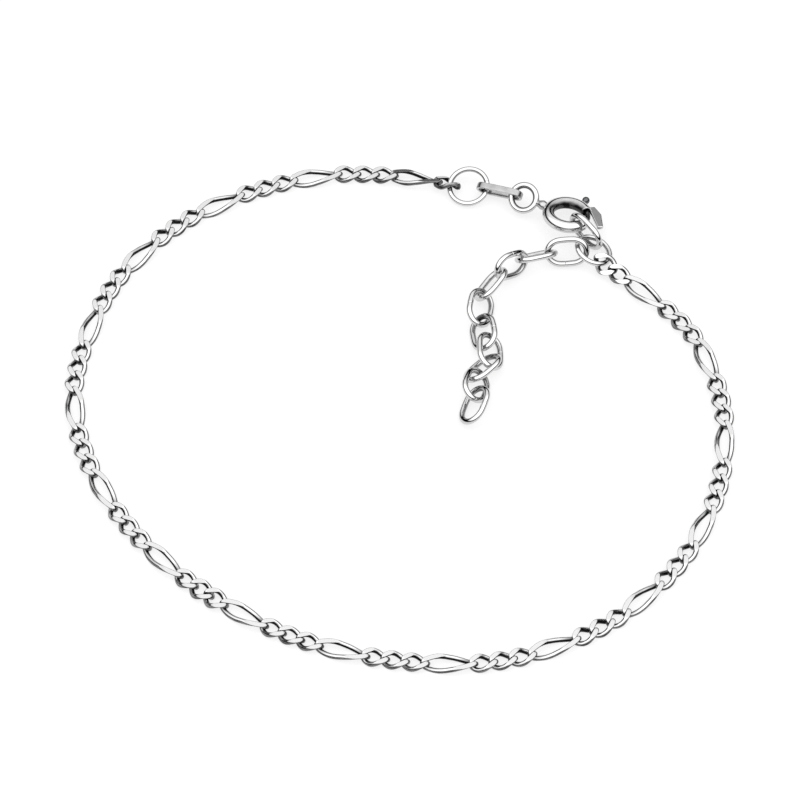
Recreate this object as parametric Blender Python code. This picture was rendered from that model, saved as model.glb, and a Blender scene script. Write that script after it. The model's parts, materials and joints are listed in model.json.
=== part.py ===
"""Figaro chain bracelet in silver: chain, jump ring, flat link, spring ring clasp and extension chain.

Units are metres and +Z is up. The bracelet lies on the plane z = 0 as a closed loop, and the middle
of its box is at x = y = 0. Curb links are ovals turned along their length and filed flat, three short
ones to a long one, and they are soldered into two fused lengths that meet. Every other ring and link
is a piece of its own that hangs in its neighbours with a small clearance.
"""
import math
from itertools import pairwise

import bmesh
import bpy
import numpy as np
from mathutils import Euler, Matrix, Vector

MM = 0.001
DEGREE = math.pi / 180.0

# Figaro chain
LONG_LINKS = 17
SHORT_LINKS_AT_START = 2
SHORT_LINKS_BETWEEN = 3
SHORT_LINKS_AT_END = 1
CHAIN_WIRE = 0.48 * MM
SHORT_LINK_INSIDE = 1.82 * MM
LONG_LINK_INSIDE = 4.36 * MM
CHAIN_WIDTH = 1.88 * MM
OPEN_LINK_WIDTH = 2.1 * MM
CHAIN_THICKNESS = 0.76 * MM
LINK_TURN = 58.0 * DEGREE
STRETCH_POWER = 0.5
SOLDER_OVERLAP = 0.10 * MM
CHAIN_END_SLACK = 0.2 * MM
FIRST_LINK_LEAN = 34.0 * DEGREE
LAST_LINK_LEAN = -31.0 * DEGREE
LIFTED_LINKS = 4

# Round rings and oval links that hang free of each other
CLEARANCE = 0.18 * MM
JUMP_RING_OUTSIDE = 4.2 * MM
JUMP_RING_WIRE = 0.52 * MM
JUMP_RING_TAKES_CHAIN = 182.0 * DEGREE
JUMP_RING_LIFT = 0.1 * MM
FLAT_LINK_LENGTH = 4.7 * MM
FLAT_LINK_HEIGHT = 1.68 * MM
FLAT_LINK_STRIP = 0.62 * MM
FLAT_LINK_GAUGE = 0.28 * MM
FLAT_LINK_SLACK = 0.57 * MM
END_RING_OUTSIDE = 3.9 * MM
END_RING_WIRE = 0.52 * MM
END_RING_TAKES_CHAIN = -29.4 * DEGREE
EXTENSION_LINK_LENGTH = 4.36 * MM
EXTENSION_LINK_WIDTH = 3.0 * MM
EXTENSION_WIRE = 0.58 * MM

# Spring ring clasp; its angles run from the far side of the ring, seen from the eye
CLASP_OUTSIDE = 5.0 * MM
CLASP_TUBE = 1.16 * MM
CLASP_BORE = 0.88 * MM
CLASP_MOUTH_START = -17.0 * DEGREE
CLASP_MOUTH_END = 46.0 * DEGREE
EYE_OUTSIDE = 3.1 * MM
EYE_WIRE = 0.62 * MM
EYE_TURN = 50.0 * DEGREE
NECK_LENGTH = 0.7 * MM
NECK_THICKNESS = 0.9 * MM
NECK_END = 0.5 * MM
BOLT_WIRE = 0.5 * MM
BOLT_GUIDED_ANGLE = 40.0 * DEGREE
BOLT_TRAVEL = 50.0 * DEGREE
BOLT_END_GAP = 3.0 * DEGREE
KNOB_WIDTH = 0.34 * MM
KNOB_HEAD = 0.74 * MM
KNOB_HEIGHT = 0.95 * MM
KNOB_ROUND = 0.3
KNOB_CLEARANCE = 0.15 * MM
TAB_LENGTH = 2.7 * MM
TAB_ROOT_WIDTH = 0.45 * MM
TAB_WIDTH = 0.9 * MM
TAB_WIDEST = 0.64 * MM
TAB_TIP_WIDTH = 0.36 * MM
TAB_THICKNESS = 0.34 * MM
TAB_ROOT = 0.6 * MM
TAB_SEAT = 0.15 * MM
TAB_HEADING = -48.0 * DEGREE

# How the clasp pieces lie: heading on the table, pitch and lean with the left side up, in degrees
CLASP_LAY = {
    "jump_ring": (-12.0, 5.0, 15.0),
    "flat_link": (-21.6, 8.0, 108.0),
    "spring_ring": (-27.6, 1.5, -15.0),
}

# How the pieces beyond the clasp lie: x and y of the middle from the clasp's middle, in extension link
# lengths, the lift off the table in millimetres, then heading, pitch and lean in degrees
LOOSE_LAY = (
    ("hook_link", 0.384, -0.471, 0.00, -48.0, -14.0, -95.0),
    ("end_ring", 0.545, -0.895, 0.18, -35.5, -14.2, -16.8),
    ("extension_link_01", -0.047, -0.994, 0.10, -178.0, -4.0, -55.0),
    ("extension_link_02", -0.719, -1.088, 0.01, -160.0, 7.0, 45.0),
    ("extension_link_03", -1.276, -1.415, 0.01, -142.0, 23.0, -75.0),
    ("extension_link_04", -1.726, -1.867, 0.05, -127.0, -9.0, 45.0),
    ("extension_link_05", -1.964, -2.469, 0.10, -100.0, 0.0, -37.0),
    ("extension_link_06", -1.904, -3.132, 0.00, -82.0, 5.0, 36.0),
    ("extension_link_07", -1.769, -3.632, 0.00, -89.0, 2.0, -35.0),
    ("extension_link_08", -1.937, -4.079, 0.00, -134.0, 0.0, 35.0),
    ("extension_link_09", -2.085, -4.598, 0.07, -105.0, 16.0, -38.0),
    ("extension_link_10", -2.125, -5.084, 0.03, -110.0, -7.0, 35.0),
)

# Facets
CHAIN_WIRE_SIDES = 5
RING_WIRE_SIDES = 6
CLASP_TUBE_SIDES = 10
SHORT_LINK_STEPS = 10
LONG_LINK_STEPS = 12
RING_STEPS = 14
LINK_STEPS = 12
CLASP_STEP = 12.0 * DEGREE
BAR_SIDES = 8
SLOT_STEPS = 6

# The chain's route on the table in millimetres, from the end ring round to the jump ring and back
CHAIN_ROUTE = (
    (19.25, 15.85), (23.5, 12.3), (27.9, 7.4), (30.1, 0.9), (30.5, -5.8), (28.8, -13.2), (25.6, -19.1),
    (20.6, -24.4), (14.0, -28.2), (7.0, -29.9), (-0.1, -29.6), (-7.2, -28.0), (-13.9, -24.9),
    (-20.3, -20.2), (-25.4, -14.5), (-29.0, -8.0), (-30.8, -1.1), (-30.3, 5.3), (-28.0, 12.5),
    (-24.6, 17.6), (-19.7, 22.0), (-13.6, 25.1), (-6.8, 26.9), (-0.1, 26.6), (5.0, 25.4),
    (12.0, 22.6), (17.2, 19.2),
)

SILVER = (0.83, 0.83, 0.82, 1.0)
STEEL = (0.62, 0.62, 0.60, 1.0)


def clear_scene():
    for thing in list(bpy.data.objects):
        bpy.data.objects.remove(thing, do_unlink=True)


def metal(name):
    """A sub-part's own polished metal: steel for the sprung bolt, silver for all else."""
    colour, roughness = (STEEL, 0.2) if "bolt" in name else (SILVER, 0.12)
    finish = bpy.data.materials.new(name + "_metal")
    finish.use_nodes = True
    shader = finish.node_tree.nodes["Principled BSDF"]
    shader.inputs["Base Color"].default_value = colour
    shader.inputs["Roughness"].default_value = roughness
    shader.inputs["Metallic"].default_value = 1.0
    return finish


def add_object(name, mesh, place=None):
    """Link a mesh to the scene with its own metal, at a rotation and place."""
    mesh.materials.clear()
    mesh.materials.append(metal(name))
    mesh.shade_smooth()
    mesh.set_sharp_from_angle(angle=40.0 * DEGREE)
    thing = bpy.data.objects.new(name, mesh)
    if place is not None:
        thing.matrix_world = place
    bpy.context.scene.collection.objects.link(thing)
    return thing


def closed_mesh(name, points, faces):
    """A mesh from points and faces, with its faces pointing out."""
    mesh = bpy.data.meshes.new(name)
    mesh.from_pydata([tuple(p) for p in points], [], faces)
    shape = bmesh.new()
    shape.from_mesh(mesh)
    bmesh.ops.recalc_face_normals(shape, faces=shape.faces)
    shape.to_mesh(mesh)
    shape.free()
    return mesh


def sweep(name, sections, closed):
    """Skin rings of points; a closed sweep joins the last to the first, an open one gets flat ends."""
    sections = np.asarray(sections)
    steps, sides = sections.shape[:2]
    faces = []
    for step in range(steps if closed else steps - 1):
        here = step * sides
        there = (step + 1) % steps * sides
        for side in range(sides):
            turn = (side + 1) % sides
            faces.append((here + side, there + side, there + turn, here + turn))
    if not closed:
        faces.append(tuple(range(sides)))
        faces.append(tuple(range((steps - 1) * sides, steps * sides)))
    return closed_mesh(name, sections.reshape(-1, 3), faces)


def round_section(wire, sides):
    """Points round a wire whose flats stand as far out as its corners on average."""
    angles = (np.arange(sides) + 0.5) * 2.0 * math.pi / sides
    radius = wire / 2.0 * math.sqrt(2.0 * math.pi / sides / math.sin(2.0 * math.pi / sides))
    return radius * np.cos(angles), radius * np.sin(angles)


def wire_sections(centres, across, wire, sides, closed=True):
    """Wire sections square to a path; across gives the direction each section keeps upright."""
    ahead = np.roll(centres, -1, axis=0) if closed else np.vstack((centres[1:], centres[-1:]))
    behind = np.roll(centres, 1, axis=0) if closed else np.vstack((centres[:1], centres[:-1]))
    along = ahead - behind
    along /= np.linalg.norm(along, axis=1, keepdims=True)
    out = np.cross(along, across)
    out /= np.linalg.norm(out, axis=1, keepdims=True)
    up = np.cross(out, along)
    offset_out, offset_up = round_section(wire, sides)
    return (centres[:, None] + out[:, None] * offset_out[None, :, None]
            + up[:, None] * offset_up[None, :, None])


def curb_link(name, inside, width, steps):
    """An oval link turned along its whole length and filed flat on both faces.

    A long link's extra length is spread over its sides by a power of the cosine, so that it
    narrows towards both ends.
    """
    half_length = (inside + SOLDER_OVERLAP + CHAIN_WIRE) / 2.0
    bend = (SHORT_LINK_INSIDE + SOLDER_OVERLAP + CHAIN_WIRE) / 2.0
    half_width = (width - CHAIN_WIRE) / 2.0
    angles = (np.arange(steps) + 0.5) * 2.0 * math.pi / steps
    stretch = (half_length - bend) * np.sign(np.cos(angles)) * np.abs(np.cos(angles)) ** STRETCH_POWER
    x = bend * np.cos(angles) + stretch
    spread = half_width * np.sin(angles)
    turn = -LINK_TURN * x / half_length
    centres = np.stack((x, spread * np.cos(turn), spread * np.sin(turn)), axis=1)
    upright = np.stack((np.zeros(steps), -np.sin(turn), np.cos(turn)), axis=1)
    sections = wire_sections(centres, upright, CHAIN_WIRE, CHAIN_WIRE_SIDES)
    sections[..., 2] = np.clip(sections[..., 2], -CHAIN_THICKNESS / 2.0, CHAIN_THICKNESS / 2.0)
    return sweep(name, sections, closed=True)


def oval_ring(name, length, width, wire, steps):
    """A round wire bent to an oval in its own XY plane, with its length along X."""
    angles = (np.arange(steps) + 0.5) * 2.0 * math.pi / steps
    straight = (length - width) / 2.0
    radius = (width - wire) / 2.0
    x = radius * np.cos(angles) + straight * np.sign(np.cos(angles))
    centres = np.stack((x, radius * np.sin(angles), np.zeros(steps)), axis=1)
    upright = np.tile((0.0, 0.0, 1.0), (steps, 1))
    return sweep(name, wire_sections(centres, upright, wire, RING_WIRE_SIDES), closed=True)


def smooth_route(points, samples=24):
    """A closed Catmull-Rom curve through the points, as a fine polyline with its lengths."""
    points = np.asarray(points, dtype=float)
    before, after, last = (np.roll(points, shift, axis=0) for shift in (1, -1, -2))
    t = (np.arange(samples) / samples)[None, :, None]
    curve = 0.5 * (2.0 * points[:, None] + (after - before)[:, None] * t
                   + (2.0 * before - 5.0 * points + 4.0 * after - last)[:, None] * t ** 2
                   + (3.0 * points - before - 3.0 * after + last)[:, None] * t ** 3)
    curve = curve.reshape(-1, 2)
    curve = np.vstack((curve, curve[:1]))
    lengths = np.concatenate(([0.0], np.cumsum(np.linalg.norm(np.diff(curve, axis=0), axis=1))))
    return curve, lengths


def walk_chords(route, chords, scale):
    """Points along the scaled route, each a chord's length from the one before."""
    curve, lengths = route

    def at(distance):
        return np.array([np.interp(distance, lengths * scale, curve[:, axis] * scale) for axis in (0, 1)])

    distance = 0.0
    places = [at(distance)]
    for chord in chords:
        target = distance + chord
        for _ in range(4):
            target += chord - np.linalg.norm(at(target) - places[-1])
        distance = target
        places.append(at(distance))
    return np.array(places)


def chain_pattern():
    """The inside length of each link, in order from the end ring."""
    short = [SHORT_LINK_INSIDE]
    group = [LONG_LINK_INSIDE] + short * SHORT_LINKS_BETWEEN
    return (short * SHORT_LINKS_AT_START + group * (LONG_LINKS - 1) + [LONG_LINK_INSIDE]
            + short * SHORT_LINKS_AT_END)


def aim(heading, pitch, roll):
    """Turn +X to a heading on the table, raise it by a pitch, and lean its left side up by a roll."""
    return Euler((roll, -pitch, heading), "XYZ").to_matrix()


def ring_contact(inside_radius, angle):
    """Where a neighbour bears on the inside of a round ring."""
    reach = inside_radius - CLEARANCE / 2.0
    return Vector((reach * math.cos(angle), reach * math.sin(angle), 0.0))


def link_contact(length, wire):
    """Where a neighbour bears on the inside of an oval link's far end."""
    return Vector((length / 2.0 - wire - CLEARANCE / 2.0, 0.0, 0.0))


def clasp_sizes():
    """The ring's centreline radius, the eye's, and where the eye's centre lies on X."""
    ring = (CLASP_OUTSIDE - CLASP_TUBE) / 2.0
    eye = (EYE_OUTSIDE - EYE_WIRE) / 2.0
    return ring, eye, -(CLASP_OUTSIDE / 2.0 + NECK_LENGTH + EYE_OUTSIDE / 2.0)


def hang(previous, turn, start, end):
    """Place a piece so that its start contact is at a point; returns its place and its end contact."""
    origin = previous - turn @ start
    return Matrix.Translation(origin) @ turn.to_4x4(), origin + turn @ end


def meeting_link():
    """The number of the link where the second length of chain starts: a short one after a short one."""
    insides = chain_pattern()
    after_middle = range(len(insides) // 2, len(insides))
    return next(number for number in after_middle if insides[number - 1] == insides[number])


def chain_link_rows():
    """For each link: its inside length, and what a free neighbour takes off at its start and end."""
    insides = chain_pattern()
    last = len(insides) - 1
    meeting = meeting_link()
    rows = []
    for number, inside in enumerate(insides):
        start = CLEARANCE / 2.0 if number in (0, meeting) else 0.0
        end = CLEARANCE / 2.0 if number in (meeting - 1, last) else 0.0
        start += CHAIN_END_SLACK if number == 0 else 0.0
        end += CHAIN_END_SLACK if number == last else 0.0
        rows.append((inside, start, end))
    return rows


def end_shares(count):
    """How far each of a count of places shares in the lift and twist of the first and of the last."""
    from_first = np.clip(1.0 - np.arange(count) / LIFTED_LINKS, 0.0, 1.0)
    share = from_first ** 2 * (3.0 - 2.0 * from_first)
    return share, share[::-1]


def contact_heights(count, first, last):
    """Heights of the contacts: on the table, but lifted at both ends by the rings there."""
    from_first, from_last = end_shares(count)
    flat = CHAIN_THICKNESS / 2.0
    return flat + (first - flat) * from_first + (last - flat) * from_last


def lay_chain(bridge_length, first_height, last_height):
    """Contacts of the chain on its route, scaled so that the clasp pieces just close the loop."""
    rows = chain_link_rows()
    heights = contact_heights(len(rows) + 1, first_height, last_height)
    bearing = np.array([inside - start - end for inside, start, end in rows])
    chords = np.sqrt(bearing ** 2 - np.diff(heights) ** 2)
    route = smooth_route(np.array(CHAIN_ROUTE) * MM)
    low, high = 0.5, 2.0
    for _ in range(40):
        scale = (low + high) / 2.0
        plan = walk_chords(route, chords, scale)
        if np.linalg.norm(plan[-1] - plan[0]) < bridge_length:
            low = scale
        else:
            high = scale
    return np.column_stack((plan, heights))


def link_places(contacts):
    """A place for each link of the chain, from the contacts at its two ends."""
    rows = chain_link_rows()
    from_first, from_last = end_shares(len(rows))
    leans = FIRST_LINK_LEAN * from_first ** 4 + LAST_LINK_LEAN * from_last ** 4
    places = []
    for (inside, start, _), lean, (here, there) in zip(rows, leans, pairwise(contacts)):
        along = Vector(there - here)
        heading = math.atan2(along.y, along.x)
        pitch = math.asin(along.z / along.length)
        centre = Vector(here) + along.normalized() * (inside / 2.0 - start)
        places.append(Matrix.Translation(centre) @ aim(heading, pitch, lean).to_4x4())
    return places


def joined(name, parts):
    """One mesh holding copies of several meshes, each at its place."""
    shape = bmesh.new()
    for mesh, place in parts:
        copy = mesh.copy()
        copy.transform(place)
        shape.from_mesh(copy)
        bpy.data.meshes.remove(copy)
    mesh = bpy.data.meshes.new(name)
    shape.to_mesh(mesh)
    shape.free()
    return mesh


def boolean(thing, other, operation):
    """Join or cut a solid with a hidden guide."""
    other.hide_render = True
    other.display_type = "WIRE"
    step = thing.modifiers.new(other.name, "BOOLEAN")
    step.operation = operation
    step.object = other
    step.solver = "EXACT"


def add_chain(contacts):
    """Both lengths of chain; in each, every second link is the guide that the others are joined to."""
    insides = chain_pattern()
    meeting = meeting_link()
    short = curb_link("short_link", SHORT_LINK_INSIDE, CHAIN_WIDTH, SHORT_LINK_STEPS)
    long = curb_link("long_link", LONG_LINK_INSIDE, CHAIN_WIDTH, LONG_LINK_STEPS)
    open_link = curb_link("open_link", SHORT_LINK_INSIDE, OPEN_LINK_WIDTH, SHORT_LINK_STEPS)
    meshes = [long if inside == LONG_LINK_INSIDE else short for inside in insides]
    for number in (0, meeting - 1, meeting, -1):
        meshes[number] = open_link
    links = list(zip(meshes, link_places(contacts)))
    made = []
    for name, stretch in (("figaro_chain_a", links[:meeting]), ("figaro_chain_b", links[meeting:])):
        chain = add_object(name, joined(name, stretch[::2]))
        others = add_object(name + "_other_links", joined(name + "_others", stretch[1::2]))
        boolean(chain, others, "UNION")
        made += [chain, others]
    return made


def arc_tube(name, radius, wire, sides, first, last):
    """A tube bent round Z at a radius, from one angle to another, with flat ends."""
    steps = max(2, round((last - first) / CLASP_STEP) + 1)
    angles = np.linspace(first, last, steps)
    outward = np.stack((np.cos(angles), np.sin(angles), np.zeros(steps)), axis=1)
    offset_out, offset_up = round_section(wire, sides)
    sections = (radius * outward[:, None] + outward[:, None] * offset_out[None, :, None]
                + np.array((0.0, 0.0, 1.0)) * offset_up[None, :, None])
    return sweep(name, sections, closed=False)


def turned_bar(name, lengths, widths, sides):
    """A round bar along X, given as lengths along it and the width at each."""
    angles = (np.arange(sides) + 0.5) * 2.0 * math.pi / sides
    sections = [[(x, w / 2.0 * math.cos(a), w / 2.0 * math.sin(a)) for a in angles]
                for x, w in zip(lengths, widths)]
    return sweep(name, sections, closed=False)


def slab(name, outline, thickness):
    """A flat plate in the XY plane, cut to an outline, with its middle at z = 0."""
    half = thickness / 2.0
    sections = [[(x, y, z) for x, y in outline] for z in (-half, half)]
    return sweep(name, sections, closed=False)


def drawn_link(name, length, height, strip, gauge, steps):
    """An oval of flat strip: its length along X, its height along Y, the strip's width along Z."""
    angles = (np.arange(steps) + 0.5) * 2.0 * math.pi / steps
    straight = (length - height) / 2.0
    outward = np.stack((np.cos(angles), np.sin(angles)), axis=1)
    ends = np.stack((straight * np.sign(np.cos(angles)), np.zeros(steps)), axis=1)
    outer = ends + outward * height / 2.0
    inner = ends + outward * (height / 2.0 - gauge)
    half = strip / 2.0
    corners = ((outer, -half), (outer, half), (inner, half), (inner, -half))
    sections = np.stack([np.column_stack((line, np.full(steps, z))) for line, z in corners], axis=1)
    return sweep(name, sections, closed=True)


def add_spring_ring(place):
    """The hollow ring with its neck, eye and finger tab, soldered into one solid."""
    ring_radius, eye_radius, eye_x = clasp_sizes()
    body_last = 2.0 * math.pi + CLASP_MOUTH_START
    tube = arc_tube("ring_tube", ring_radius, CLASP_TUBE, CLASP_TUBE_SIDES, CLASP_MOUTH_END, body_last)
    body = add_object("spring_ring", tube, place)

    eye_mesh = oval_ring("eye", EYE_OUTSIDE, EYE_OUTSIDE, EYE_WIRE, RING_STEPS)
    eye_place = place @ Matrix.Translation((eye_x, 0.0, 0.0)) @ Matrix.Rotation(EYE_TURN, 4, "X")
    eye = add_object("eye_guide", eye_mesh, eye_place)

    neck_lengths = (-ring_radius, -CLASP_OUTSIDE / 2.0 - NECK_LENGTH / 2.0, eye_x + eye_radius)
    neck_widths = (NECK_THICKNESS, NECK_THICKNESS, NECK_END)
    neck = add_object("neck_guide", turned_bar("neck", neck_lengths, neck_widths, BAR_SIDES), place)

    tab_mesh = slab("tab", tab_outline(), TAB_THICKNESS)
    tab = add_object("tab_guide", tab_mesh, place)

    bore_last = CLASP_MOUTH_END + BOLT_GUIDED_ANGLE + BOLT_TRAVEL + BOLT_END_GAP
    bore_first = CLASP_MOUTH_END - BOLT_END_GAP
    bore_mesh = arc_tube("bore", ring_radius, CLASP_BORE, BAR_SIDES, bore_first, bore_last)
    bore = add_object("bore_guide", bore_mesh, place)
    slot = add_object("slot_guide", slot_mesh(), place)

    for guide in (eye, neck, tab):
        boolean(body, guide, "UNION")
    for guide in (bore, slot):
        boolean(body, guide, "DIFFERENCE")
    return [body, eye, neck, tab, bore, slot]


def tab_outline():
    """A finger tab that leaves the tube beside its mouth, widens, and tapers past the mouth's outside."""
    seat = CLASP_OUTSIDE / 2.0 - TAB_SEAT
    root = Vector((math.cos(CLASP_MOUTH_END), math.sin(CLASP_MOUTH_END))) * seat
    along = Vector((math.cos(TAB_HEADING), math.sin(TAB_HEADING)))
    across = Vector((-along.y, along.x))
    start = root - along * TAB_ROOT
    widest = root + along * TAB_WIDEST
    tip = root + along * TAB_LENGTH
    return (start, tip, tip + across * TAB_TIP_WIDTH, widest + across * TAB_WIDTH,
            start + across * TAB_ROOT_WIDTH)


def knob_angle():
    """Where the knob's middle stands on the bolt: its far side is flush with the bolt's end."""
    return CLASP_MOUTH_END + BOLT_GUIDED_ANGLE - KNOB_WIDTH / (CLASP_OUTSIDE - CLASP_TUBE)


def slot_mesh():
    """The slot in the tube's outer wall that the knob slides along."""
    ring_radius, _, _ = clasp_sizes()
    spare = (KNOB_WIDTH / 2.0 + KNOB_CLEARANCE) / ring_radius
    angles = np.linspace(knob_angle() - spare, knob_angle() + BOLT_TRAVEL + spare, SLOT_STEPS)
    half = KNOB_WIDTH / 2.0 + KNOB_CLEARANCE
    radii = (ring_radius, CLASP_OUTSIDE / 2.0 + CLASP_TUBE / 2.0)
    corners = ((radii[0], -half), (radii[1], -half), (radii[1], half), (radii[0], half))
    sections = [[(r * math.cos(a), r * math.sin(a), z) for r, z in corners] for a in angles]
    return sweep("slot", sections, closed=False)


def add_bolt(place):
    """The bolt that shuts the clasp's mouth, with the knob that draws it back along the slot."""
    ring_radius, _, _ = clasp_sizes()
    first = CLASP_MOUTH_START + BOLT_END_GAP
    last = CLASP_MOUTH_END + BOLT_GUIDED_ANGLE
    mesh = arc_tube("bolt", ring_radius, BOLT_WIRE, RING_WIRE_SIDES, first, last)
    bolt = add_object("spring_ring_bolt", mesh, place)
    base, top = CLASP_OUTSIDE / 2.0 + KNOB_CLEARANCE, CLASP_OUTSIDE / 2.0 + KNOB_HEIGHT
    head = KNOB_ROUND * (top - base)
    lengths = (ring_radius, base, base + head, top - head, top)
    widths = (KNOB_WIDTH, KNOB_WIDTH, KNOB_HEAD, KNOB_HEAD, KNOB_WIDTH)
    knob_mesh = turned_bar("knob", lengths, widths, BAR_SIDES)
    knob_place = place @ Matrix.Rotation(knob_angle(), 4, "Z")
    knob = add_object("knob_guide", knob_mesh, knob_place)
    boolean(bolt, knob, "UNION")
    return [bolt, knob]


def resting_height(mesh, turn):
    """How high a mesh's origin lies when the turned mesh just stands on the table."""
    return -min((turn @ vertex.co).z for vertex in mesh.vertices)


def oval_meshes():
    """The meshes of the pieces of plain wire and strip."""
    return {
        "jump_ring": oval_ring("jump_ring", JUMP_RING_OUTSIDE, JUMP_RING_OUTSIDE, JUMP_RING_WIRE, RING_STEPS),
        "end_ring": oval_ring("end_ring", END_RING_OUTSIDE, END_RING_OUTSIDE, END_RING_WIRE, RING_STEPS),
        "flat_link": drawn_link("flat_link", FLAT_LINK_LENGTH, FLAT_LINK_HEIGHT, FLAT_LINK_STRIP,
                                FLAT_LINK_GAUGE, LINK_STEPS),
        "link": oval_ring("link", EXTENSION_LINK_LENGTH, EXTENSION_LINK_WIDTH, EXTENSION_WIRE, LINK_STEPS),
    }


def hang_clasp(meshes):
    """Places of the jump ring, flat link and clasp, hung from one another, and the chain's last contact."""
    turns = {name: aim(*(angle * DEGREE for angle in angles)) for name, angles in CLASP_LAY.items()}
    _, eye_radius, eye_x = clasp_sizes()
    jump_inside = JUMP_RING_OUTSIDE / 2.0 - JUMP_RING_WIRE
    flat_end = link_contact(FLAT_LINK_LENGTH - FLAT_LINK_SLACK, FLAT_LINK_GAUGE)
    eye_start = Vector((eye_x - eye_radius + (EYE_WIRE + CLEARANCE) / 2.0, 0.0, 0.0))
    jump_start = ring_contact(jump_inside, JUMP_RING_TAKES_CHAIN)
    jump_z = resting_height(meshes["jump_ring"], turns["jump_ring"]) + JUMP_RING_LIFT
    takes_chain = Vector((0.0, 0.0, jump_z + (turns["jump_ring"] @ jump_start).z))
    places = {}
    places["jump_ring"], bearing = hang(takes_chain, turns["jump_ring"], jump_start,
                                        ring_contact(jump_inside, 0.0))
    places["flat_link"], bearing = hang(bearing, turns["flat_link"], -flat_end, flat_end)
    places["spring_ring"], _ = hang(bearing, turns["spring_ring"], eye_start, Vector())
    return places, takes_chain


def lay_loose_pieces(meshes, clasp_middle):
    """Places of the pieces beyond the clasp, each lowered until it lies at its lift off the table."""
    places = {}
    for name, x, y, lift, heading, pitch, lean in LOOSE_LAY:
        turn = aim(heading * DEGREE, pitch * DEGREE, lean * DEGREE)
        middle = clasp_middle + Vector((x, y, 0.0)) * EXTENSION_LINK_LENGTH
        middle.z = resting_height(meshes.get(name, meshes["link"]), turn) + lift * MM
        places[name] = Matrix.Translation(middle) @ turn.to_4x4()
    return places


def move_to_origin(things):
    """Hang every object on one empty that brings the middle of the chain's box to x = y = 0."""
    points = [vertex.co for thing in things if thing.name.startswith("figaro_chain")
              for vertex in thing.data.vertices]
    box = np.array([np.min(points, axis=0), np.max(points, axis=0)])
    middle = box.mean(axis=0)
    bracelet = bpy.data.objects.new("bracelet", None)
    bpy.context.scene.collection.objects.link(bracelet)
    bracelet.location = (-middle[0], -middle[1], 0.0)
    for thing in things:
        thing.parent = bracelet


def build():
    clear_scene()
    meshes = oval_meshes()
    places, takes_last = hang_clasp(meshes)
    places.update(lay_loose_pieces(meshes, places["spring_ring"].translation))
    end_inside = END_RING_OUTSIDE / 2.0 - END_RING_WIRE
    takes_first = places["end_ring"] @ ring_contact(end_inside, END_RING_TAKES_CHAIN)

    bridge = takes_first - takes_last
    contacts = lay_chain(bridge.xy.length, takes_first.z, takes_last.z)
    gap = contacts[0] - contacts[-1]
    turn = math.atan2(gap[1], gap[0]) - math.atan2(bridge.y, bridge.x)
    seat = Matrix.Translation(Vector(contacts[-1]) - takes_last) @ Matrix.Rotation(turn, 4, "Z")
    places = {name: seat @ place for name, place in places.items()}

    made = add_chain(contacts)
    made += add_spring_ring(places["spring_ring"])
    made += add_bolt(places.pop("spring_ring"))
    for name, place in places.items():
        made.append(add_object(name, meshes.get(name, meshes["link"]).copy(), place))
    move_to_origin(made)


build()
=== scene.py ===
# %% [markdown]
# # A figaro chain bracelet in polished silver
# The bracelet lies on a table as a closed loop: a chain of turned and filed links, a jump ring, a flat
# link, a spring ring clasp, and a short extension chain that hangs from the end ring. The solids of the
# frame already lie where the pieces belong, so here each of them gets a fine surface of the same size in
# the same place, and a metal finish. Lengths are written in millimetres times MM, and the file works
# in metres. We start with the frame, and keep its box for the height of the table.

# %% Load the frame
import json
import math

import bmesh
import bpy
import numpy as np
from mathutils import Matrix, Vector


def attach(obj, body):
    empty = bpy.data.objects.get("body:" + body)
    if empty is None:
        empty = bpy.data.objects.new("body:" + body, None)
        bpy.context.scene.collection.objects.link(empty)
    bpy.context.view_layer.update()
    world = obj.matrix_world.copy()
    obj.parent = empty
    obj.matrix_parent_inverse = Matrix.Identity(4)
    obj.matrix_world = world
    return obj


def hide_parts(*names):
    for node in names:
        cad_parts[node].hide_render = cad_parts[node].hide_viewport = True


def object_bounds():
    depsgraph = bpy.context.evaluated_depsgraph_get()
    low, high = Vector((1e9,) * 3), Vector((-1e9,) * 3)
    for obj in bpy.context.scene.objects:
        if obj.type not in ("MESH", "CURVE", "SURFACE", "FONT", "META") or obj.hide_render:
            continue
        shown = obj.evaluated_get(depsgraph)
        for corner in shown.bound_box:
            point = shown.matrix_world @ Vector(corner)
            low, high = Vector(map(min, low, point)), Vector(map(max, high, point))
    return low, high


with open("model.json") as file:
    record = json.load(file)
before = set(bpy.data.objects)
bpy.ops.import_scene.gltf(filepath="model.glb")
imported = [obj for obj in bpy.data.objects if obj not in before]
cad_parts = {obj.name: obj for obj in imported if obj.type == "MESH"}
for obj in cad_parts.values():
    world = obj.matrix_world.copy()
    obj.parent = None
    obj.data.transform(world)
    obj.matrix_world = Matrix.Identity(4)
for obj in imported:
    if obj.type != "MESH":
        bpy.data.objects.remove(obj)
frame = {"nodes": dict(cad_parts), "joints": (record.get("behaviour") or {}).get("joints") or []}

MM = 0.001
DEGREE = math.pi / 180.0
cad_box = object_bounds()
table_height = min(cad_box[0].z, 0.0)

# %% [markdown]
# ## The camera
# The photograph looks down on the table from about 54 degrees above it. A long lens half a metre away
# keeps near and far links at nearly the same size. A camera could be aimed by a constraint, but two sums
# are enough: its place is the distance along the line of sight, and its tilt is what the height angle
# leaves of a right angle.

# %% Camera
CAMERA_HEIGHT_ANGLE = 54.0 * DEGREE
CAMERA_DISTANCE = 470.0 * MM
CAMERA_LENS = 225.0
SENSOR_WIDTH = 36.0
LOOK_AT = (0.1443 * MM, 1.4598 * MM, 0.0)

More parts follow.
